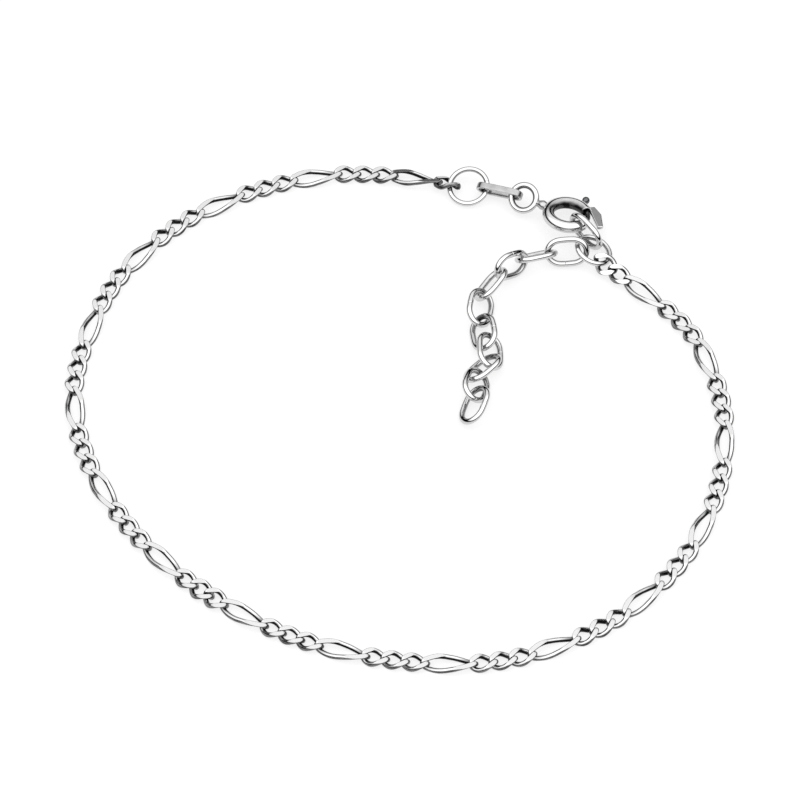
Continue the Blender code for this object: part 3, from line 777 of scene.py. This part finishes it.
ring_radius = (CLASP_OUTSIDE - CLASP_TUBE) / 2.0
slide = frame["joints"][0]
clasp_middle = np.array([slide["pos_m"]])
clasp_axes = laid_axes["spring_ring"]
knob_angle = MOUTH_END + GUIDED - KNOB_WIDTH / (2.0 * ring_radius) / DEGREE
slot_half = KNOB_WIDTH / 2.0 + KNOB_CLEARANCE
slot_spare = slot_half / ring_radius / DEGREE
slot_first, slot_last = knob_angle - slot_spare, knob_angle + TRAVEL + slot_spare
print("clasp axis differs from the joint's by",
      round(float(np.linalg.norm(clasp_axes[0][:, 2] - np.array(slide["axis"]))), 5))

# %% A tube on a bent axis
def bent(angles, radii, turns):
    """Points at an angle round the ring and, from the tube's middle, at a radius and a turn."""
    angles, radii = np.asarray(angles)[:, None] * DEGREE, np.asarray(radii)[:, None]
    reach = ring_radius + radii * np.cos(turns)
    return np.stack((reach * np.cos(angles), reach * np.sin(angles), radii * np.sin(turns)), axis=-1)


def bent_dome(start, end_radius, direction, steps=7):
    """Stations of a rounded end: the radius follows a sine and the angle a cosine."""
    t = np.linspace(0.0, math.pi / 2.0, steps)
    return start + direction * end_radius * (1.0 - np.cos(t)) / ring_radius / DEGREE, end_radius * np.sin(t)


# %% The hollow ring
CAP = ((-4.0, 0.0), (-4.0, 0.5), (-0.6, 0.56), (0.0, 0.62), (0.0, 0.84), (-0.35, 0.94), (-1.1, 0.985))
OUTER_LIP = ((0.7, 0.1, 0.0), (0.985, 0.95, 0.9))
INNER_LIP = ((0.0, 0.4), (1.06, 1.0))
CAP_END = 2.2
LIP_START = 1.6
BORE_START = 1.0
BORE_SPARE = 2.0
SLOT_STEPS = 19
WALL_STEPS = 56
MOUTH_STEPS = 7

tube, bore = CLASP_TUBE / 2.0, CLASP_BORE / 2.0
closed_end = 360.0 + MOUTH_START
along_slot = np.linspace(slot_first, slot_last, SLOT_STEPS)
wall_angles = np.concatenate((np.linspace(closed_end - CAP_END, slot_last, WALL_STEPS), along_slot[-2::-1],
                              np.linspace(slot_first, MOUTH_END + LIP_START, MOUTH_STEPS)[1:]))
bore_angles = np.concatenate((np.linspace(MOUTH_END + BORE_START, slot_first, MOUTH_STEPS), along_slot[1:],
                              (slot_last + BORE_SPARE,)))
cap_shift, cap_share = np.transpose(CAP)
lip_shift = np.concatenate((OUTER_LIP[0], INNER_LIP[0]))
lip_radii = np.concatenate((np.array(OUTER_LIP[1]) * tube, np.array(INNER_LIP[1]) * bore))
angles = np.concatenate((closed_end + cap_shift, wall_angles, MOUTH_END + lip_shift, bore_angles,
                         (slot_last + BORE_SPARE,)))
radii = np.concatenate((cap_share * tube, np.full(len(wall_angles), tube), lip_radii,
                        np.full(len(bore_angles), bore), (0.0,)))
slot_turn = np.arcsin(slot_half / np.maximum(radii, bore))[:, None]
turns = np.concatenate((slot_turn * np.linspace(-1.0, 1.0, SLOT_CELLS + 1)[None, :-1],
                        slot_turn + (2.0 * math.pi - 2.0 * slot_turn)
                        * np.linspace(0.0, 1.0, TUBE_ROUND_REST + 1)[None, :-1]), axis=1)
shell = bent(angles, radii, turns)
print("the ring's grid is", shell.shape[0], "by", shell.shape[1])

# %% The slot for the knob
def slotted(points, rows, columns):
    """Points and quads of an open grid without the cells of a slot in two walls, and with its edges closed.

    Rows holds the first and last row of the slot on the outer wall, and on the bore, where the rows
    run back. The walls join each corner of the outer slot to the same corner of the inner one.
    """
    (outer_first, outer_last), (inner_first, inner_last) = rows
    steps, round_it = points.shape[:2]
    flat, quads = grid(points[None], ring=False)
    row, column = quads[:, 0] // round_it, quads[:, 0] % round_it
    in_rows = ((row >= outer_first) & (row < outer_last)) | ((row >= inner_first) & (row < inner_last))
    quads = quads[~(in_rows & (column < columns))]
    outer = np.arange(outer_first, outer_last + 1)[:, None] * round_it + np.arange(columns + 1)[None]
    inner = np.arange(inner_last, inner_first - 1, -1)[:, None] * round_it + np.arange(columns + 1)[None]
    loops = [np.concatenate((side[:-1, 0], side[-1, :-1], side[:0:-1, -1], side[0, :0:-1]))
             for side in (outer, inner)]
    walls = np.stack((loops[0], loops[1], np.roll(loops[1], -1), np.roll(loops[0], -1)), axis=1)
    return flat, np.vstack((quads, walls[:, ::-1]))


at_last = int(np.argmin(np.abs(wall_angles - slot_last))) + len(CAP)
at_first = int(np.argmin(np.abs(wall_angles - slot_first))) + len(CAP)
bore_start = len(CAP) + len(wall_angles) + len(lip_radii)
bore_first = int(np.argmin(np.abs(bore_angles - slot_first))) + bore_start
bore_last = int(np.argmin(np.abs(bore_angles - slot_last))) + bore_start
shell_points, shell_quads = slotted(shell, ((at_last, at_first), (bore_first, bore_last)), SLOT_CELLS)
print("slot rows", at_last, at_first, bore_first, bore_last)

# %% [markdown]
# ## Eye, neck and finger tab
# The eye is a small ring that is turned half way out of the clasp's plane, so that a link can hang in it.
# A neck that is thickest beside the tube holds it. The finger tab is a plate: each point of its rim is
# the corner that reaches farthest in some direction, plus a small round in the same direction.

# %% Eye and neck
EYE_OUTSIDE = 3.1 * MM
EYE_WIRE = 0.62 * MM
EYE_TURN = 50.0 * DEGREE
NECK_LENGTH = 0.7 * MM
NECK_THICKNESS = 0.96 * MM
NECK_END = 0.54 * MM
NECK_MIDDLE = -2.7 * MM
NECK_SPREAD = 0.42 * MM
# Painted shade on the neck.
NECK_SHADE = 0.35
NECK_ROOT = 0.35 * MM
EYE_STEPS = 56
NECK_STEPS = 22

eye_radius = (EYE_OUTSIDE - EYE_WIRE) / 2.0
eye_x = -(CLASP_OUTSIDE / 2.0 + NECK_LENGTH + EYE_OUTSIDE / 2.0)
turn = np.arange(WIRE_ROUND) * 2.0 * math.pi / WIRE_ROUND
around = np.arange(EYE_STEPS)[:, None] * 2.0 * math.pi / EYE_STEPS
reach = eye_radius + EYE_WIRE / 2.0 * np.cos(turn)[None]
level = np.broadcast_to(EYE_WIRE / 2.0 * np.sin(turn)[None], (EYE_STEPS, WIRE_ROUND))
eye = np.stack((eye_x + reach * np.cos(around),
                reach * np.sin(around) * math.cos(EYE_TURN) - level * math.sin(EYE_TURN),
                reach * np.sin(around) * math.sin(EYE_TURN) + level * math.cos(EYE_TURN)), axis=-1)


def bump_at(x, place, width):
    """A bell curve round a place."""
    return np.exp(-((x - place) / width) ** 2)


neck_x = np.linspace(NECK_ROOT - CLASP_OUTSIDE / 2.0, eye_x + eye_radius, NECK_STEPS)
neck_bump = bump_at(neck_x, NECK_MIDDLE, NECK_SPREAD)
neck_radius = NECK_END / 2.0 + (NECK_THICKNESS - NECK_END) / 2.0 * neck_bump
neck_x = np.concatenate((neck_x[:1], neck_x, neck_x[-1:]))[:, None]
neck_radius = np.concatenate(((0.0,), neck_radius, (0.0,)))[:, None]
neck = np.stack(np.broadcast_arrays(neck_x, neck_radius * np.cos(turn), neck_radius * np.sin(turn)), axis=-1)
print("eye at", round(eye_x / MM, 2), "mm, neck", NECK_LENGTH / MM, "mm long")

# %% Finger tab
TAB_LENGTH = 2.7 * MM
TAB_ROOT_WIDTH = 0.45 * MM
TAB_WIDTH = 0.9 * MM
TAB_WIDEST = 0.64 * MM
TAB_TIP_WIDTH = 0.36 * MM
TAB_THICKNESS = 0.34 * MM
TAB_ROOT = 0.6 * MM
TAB_SEAT = 0.15 * MM
TAB_HEADING = -48.0 * DEGREE
TAB_ROUND = 0.14 * MM
TAB_EDGE = 0.08 * MM
RIM_STEPS = 64
FACE_BORDER = 0.3
CORNER_INSET = 1.6


def plate(corners, corner_round, edge, thickness):
    """Grid of a rounded plate with a rounded edge, from its convex outline's corners.

    In each direction the rim is the farthest corner of the outline, drawn in by the round, plus the
    round; over the edge the round shrinks with a cosine while the height follows a sine. A narrow
    border inside the edge keeps the faces flat where the shading blends.
    """
    middle = corners.mean(axis=0)
    outwards = corners - middle
    inner = corners - outwards * CORNER_INSET * corner_round / np.linalg.norm(outwards, axis=1, keepdims=True)
    angle = (np.arange(RIM_STEPS) + 0.5) * 2.0 * math.pi / RIM_STEPS
    ahead = np.stack((np.cos(angle), np.sin(angle)), axis=1)
    farthest = inner[np.argmax(ahead @ inner.T, axis=1)]
    over = np.pad(np.linspace(-math.pi / 2.0, math.pi / 2.0, 9), 1, mode="edge")
    size = corner_round - edge + edge * np.cos(over)
    size[[0, -1]] -= edge * FACE_BORDER
    height = (thickness / 2.0 - edge) * np.sign(over) * (over != 0.0) + edge * np.sin(over)
    rim = farthest[None] + size[:, None, None] * ahead[None]
    rows = np.concatenate((rim, np.broadcast_to(height[:, None, None], rim.shape[:2] + (1,))), axis=2)
    poles = [np.broadcast_to(np.append(middle, side), (1, RIM_STEPS, 3)) for side in (height[0], height[-1])]
    return np.concatenate((poles[0], rows, poles[1]))


seat = CLASP_OUTSIDE / 2.0 - TAB_SEAT
root = seat * np.array((math.cos(MOUTH_END * DEGREE), math.sin(MOUTH_END * DEGREE)))
tab_along = np.array((math.cos(TAB_HEADING), math.sin(TAB_HEADING)))
tab_across = np.array((-tab_along[1], tab_along[0]))
start, widest, tip = (root + tab_along * reach for reach in (-TAB_ROOT, TAB_WIDEST, TAB_LENGTH))
tab_corners = np.array((start, tip, tip + tab_across * TAB_TIP_WIDTH, widest + tab_across * TAB_WIDTH,
                        start + tab_across * TAB_ROOT_WIDTH))
tab = plate(tab_corners, TAB_ROUND, TAB_EDGE, TAB_THICKNESS)

# %% The whole clasp
SHADE_SLOPE = 1.4
SHADE_START = 0.15
TUBE_MARGIN = 1.01


def placed_on_clasp(points, ring):
    return grid(lay(points, clasp_axes, clasp_middle), ring)


def shade_inside(points, axes, middle):
    """How far a point of the ring faces its own middle, for the painted shade inside it."""
    own = (points - middle) @ axes
    out = np.hypot(own[:, 0], own[:, 1]) - ring_radius
    near = np.abs(np.hypot(out, own[:, 2])) < tube * TUBE_MARGIN
    return np.where(near, np.clip(-out / tube * SHADE_SLOPE - SHADE_START, 0.0, 1.0), 0.0)


placed_shell = (shell_points @ clasp_axes[0].T + clasp_middle, shell_quads)
clasp_surfaces = [placed_shell, placed_on_clasp(eye, True), placed_on_clasp(neck, False),
                  placed_on_clasp(tab, False)]
clasp_points = np.vstack([points for points, _ in clasp_surfaces])
# Painted shade on the ring's inner side.
clasp_recess = shade_inside(clasp_points, clasp_axes[0], clasp_middle)
clasp_recess[len(shell_points):] = 0.0
# Painted shade on the eye's inner side.
eye_recess = np.tile(np.clip(-np.cos(turn), 0.0, 1.0), EYE_STEPS)
after_eye = len(shell_points) + len(eye_recess)
clasp_recess[len(shell_points):after_eye] = eye_recess
# An even painted shade on the neck.
clasp_recess[after_eye:after_eye + neck.shape[0] * WIRE_ROUND] = NECK_SHADE
# Full painted shade over the whole bore.
clasp_recess[bore_start * shell.shape[1]:len(shell_points)] = 1.0
clasp = make_piece("polished_spring_ring", clasp_surfaces, {"recess": clasp_recess}, poles=True)

# %% [markdown]
# ## The bolt and its knob
# The bolt is a bent wire with a rounded nose, and the knob is a pin with a ball end for the fingernail.
# Both are profiles carried along a path, and they ride on the bolt's own body.

# %% Bolt and knob
SHANK_STEPS = 26
BALL_STEPS = 12

knob_ball = KNOB_HEAD / 2.0
bolt_radius = BOLT_WIRE / 2.0
nose = bent_dome(MOUTH_START + END_GAP, bolt_radius, 1.0)
heel = bent_dome(MOUTH_END + GUIDED, bolt_radius, -1.0)
shank = np.linspace(nose[0][-1], heel[0][-1], SHANK_STEPS)[1:-1]
bolt_angles = np.concatenate((nose[0], shank, heel[0][::-1]))
bolt_radii = np.concatenate((nose[1], np.full(len(shank), bolt_radius), heel[1][::-1]))
bolt_bar = bent(bolt_angles, bolt_radii, turn[None])

top = CLASP_OUTSIDE / 2.0 + KNOB_HEIGHT
ball_middle = top - knob_ball
neck_angle = math.asin(KNOB_WIDTH / 2.0 / knob_ball)
ball = np.linspace(math.pi - neck_angle, 0.0, BALL_STEPS)
pin_reach = np.concatenate(((ring_radius, ring_radius), ball_middle + knob_ball * np.cos(ball)))
pin_radius = np.concatenate(((0.0, KNOB_WIDTH / 2.0), knob_ball * np.sin(ball)))
knob_out = np.array((math.cos(knob_angle * DEGREE), math.sin(knob_angle * DEGREE), 0.0))
knob_side = np.array((-knob_out[1], knob_out[0], 0.0))
knob = (pin_reach[:, None, None] * knob_out + pin_radius[:, None, None]
        * (np.cos(turn)[None, :, None] * knob_side + np.sin(turn)[None, :, None] * np.array((0.0, 0.0, 1.0))))
bolt = make_piece("steel_bolt", [placed_on_clasp(bolt_bar, False), placed_on_clasp(knob, False)],
                  poles=True)

# %% [markdown]
# ## Silver that was tumbled, filed and worn
# Bright silver is a plain metal with a low roughness. What makes it look real is small: the waves and
# hairlines that tumbling leaves, the fine parallel strokes on the filed flats, and painted shade, a dark tone
# painted between the links, on the chain's steep sides and inside the clasp. All patterns are measured in
# metres on the object itself, and the marks kept on the points say where the file and the painted shade are.

# %% Silver finish
SILVER_TONE = (0.60, 0.60, 0.60, 1.0)
# A near-black tone for painted shade, and how strongly the steep sides of the chain's wires take it.
PAINTED_SHADE_TONE = (0.012, 0.012, 0.013, 1.0)
SIDE_SHADE_STRENGTH = 1.6
WAVE_SCALE = 900.0
HAIRLINE_SCALE = 9000.0
STROKE_SCALES = (9000.0, 60000.0, 9000.0)
HAIRLINE_ROUGHNESS = 0.06
FILED_ROUGHNESS = 0.05
SHADED_ROUGHNESS = 0.2
HAIRLINE_RELIEF = 0.35
WAVE_RELIEF = 2.0
STROKE_RELIEF = 0.6
RELIEF_STRENGTH = 0.25
RELIEF_HEIGHT = 2e-6


def silver(name, roughness, shade_strength):
    """Polished silver; the third argument is how dark the painted shade in its recesses and on its steep
    sides is.
    """
    material = bpy.data.materials.new(name)
    nodes = Nodes(material)
    shader = material.node_tree.nodes["Principled BSDF"]
    shader.inputs["Metallic"].default_value = 1.0
    place = nodes.add("ShaderNodeTexCoord", {}, {}, output=3)
    waves = nodes.add("ShaderNodeTexNoise", {}, {"Vector": place, "Scale": WAVE_SCALE, "Detail": 2.0})
    hairlines = nodes.add("ShaderNodeTexNoise", {}, {"Vector": place, "Scale": HAIRLINE_SCALE, "Detail": 4.0})
    recess = nodes.add("ShaderNodeAttribute", {"attribute_name": "recess"}, {}, output=2)
    filed = nodes.add("ShaderNodeAttribute", {"attribute_name": "filed"}, {}, output=2)
    side = nodes.add("ShaderNodeAttribute", {"attribute_name": "side"}, {}, output=2)
    # Painted shade: the recess and side marks darken the colour towards the near-black tone in crevices, on
    # inner walls, on the flat link's broad faces and on the chain's steep sides.
    dark = nodes.limited((recess + side * SIDE_SHADE_STRENGTH) * (0.5 + waves) * shade_strength)
    nodes.feed(shader, "Base Color", nodes.mix(dark, SILVER_TONE, PAINTED_SHADE_TONE))
    uneven = roughness + hairlines * HAIRLINE_ROUGHNESS + filed * FILED_ROUGHNESS + dark * SHADED_ROUGHNESS
    nodes.feed(shader, "Roughness", nodes.limited(uneven))
    stretch = nodes.add("ShaderNodeMapping", {}, {"Vector": place, "Scale": STROKE_SCALES})
    strokes = nodes.add("ShaderNodeTexNoise", {}, {"Vector": stretch, "Scale": 1.0, "Detail": 2.0})
    relief = hairlines * HAIRLINE_RELIEF + waves * WAVE_RELIEF + strokes * filed * STROKE_RELIEF
    bump = nodes.add("ShaderNodeBump", {}, {"Height": relief, "Strength": RELIEF_STRENGTH,
                                            "Distance": RELIEF_HEIGHT})
    nodes.feed(shader, "Normal", bump)
    return material


finishes = {
    "chain_silver": silver("filed_chain_silver", 0.07, 0.97),
    "link_silver": silver("wire_link_silver", 0.06, 0.85),
    "ring_silver": silver("ring_silver", 0.06, 0.75),
    "clasp_silver": silver("clasp_silver", 0.08, 0.95),
}
print("silver finishes:", sorted(finishes))

# %% [markdown]
# ## Steel for the bolt
# The bolt is spring steel, much darker and a little bluer than silver, and it is drawn to and fro in its
# bore, which wears fine scratches into it. Its two tones are darker still than steel: painted shade for
# the bolt that lies in the clasp's dark mouth.

# %% Steel finish
# Two tones of steel, darkened as painted shade for the bolt in the clasp's dark mouth; scratches mix them.
SHADED_STEEL_DARK = (0.02, 0.02, 0.022, 1.0)
SHADED_STEEL_LIGHT = (0.18, 0.185, 0.19, 1.0)
SCRATCH_SCALE = 12000.0
STEEL_ROUGHNESS = 0.12
SCRATCH_ROUGHNESS = 0.16
SCRATCH_STRENGTH = 0.3


def steel(name):
    """Worn spring steel with scratches in all directions, its tones darkened as painted shade."""
    material = bpy.data.materials.new(name)
    nodes = Nodes(material)
    shader = material.node_tree.nodes["Principled BSDF"]
    shader.inputs["Metallic"].default_value = 1.0
    place = nodes.add("ShaderNodeTexCoord", {}, {}, output=3)
    scratches = nodes.add("ShaderNodeTexNoise", {}, {"Vector": place, "Scale": SCRATCH_SCALE, "Detail": 5.0})
    tone = nodes.mix(scratches, SHADED_STEEL_DARK, SHADED_STEEL_LIGHT)
    nodes.feed(shader, "Base Color", tone)
    nodes.feed(shader, "Roughness", nodes.limited(STEEL_ROUGHNESS + scratches * SCRATCH_ROUGHNESS))
    bump = nodes.add("ShaderNodeBump", {}, {"Height": scratches, "Strength": SCRATCH_STRENGTH,
                                            "Distance": RELIEF_HEIGHT})
    nodes.feed(shader, "Normal", bump)
    return material


finishes["bolt_steel"] = steel("bolt_steel")
print("and", finishes["bolt_steel"].name)

# %% [markdown]
# ## Put it together
# Each fine piece stands for one solid of the frame, rides on that solid's body and takes the finish of its
# slot in the record. Only the bolt rides on a body of its own, so that it slides back into the ring.

# %% Bodies, solids and finishes
dressed = [
    (chain_a, "figaro_chain_a", "bracelet", "chain_silver"),
    (chain_b, "figaro_chain_b", "bracelet", "chain_silver"),
    (clasp, "spring_ring", "bracelet", "clasp_silver"),
    (bolt, "spring_ring_bolt", "bolt", "bolt_steel"),
]
rings = ("jump_ring", "end_ring", "flat_link")
dressed += [(piece, node, "bracelet", "ring_silver" if node in rings else "link_silver")
            for node, piece in wire_pieces.items()]
for piece, node, body, slot in dressed:
    piece.data.materials.append(finishes[slot])
    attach(piece, body)
    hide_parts(node)
print(len(dressed), "pieces stand for", len(frame["nodes"]), "solids")
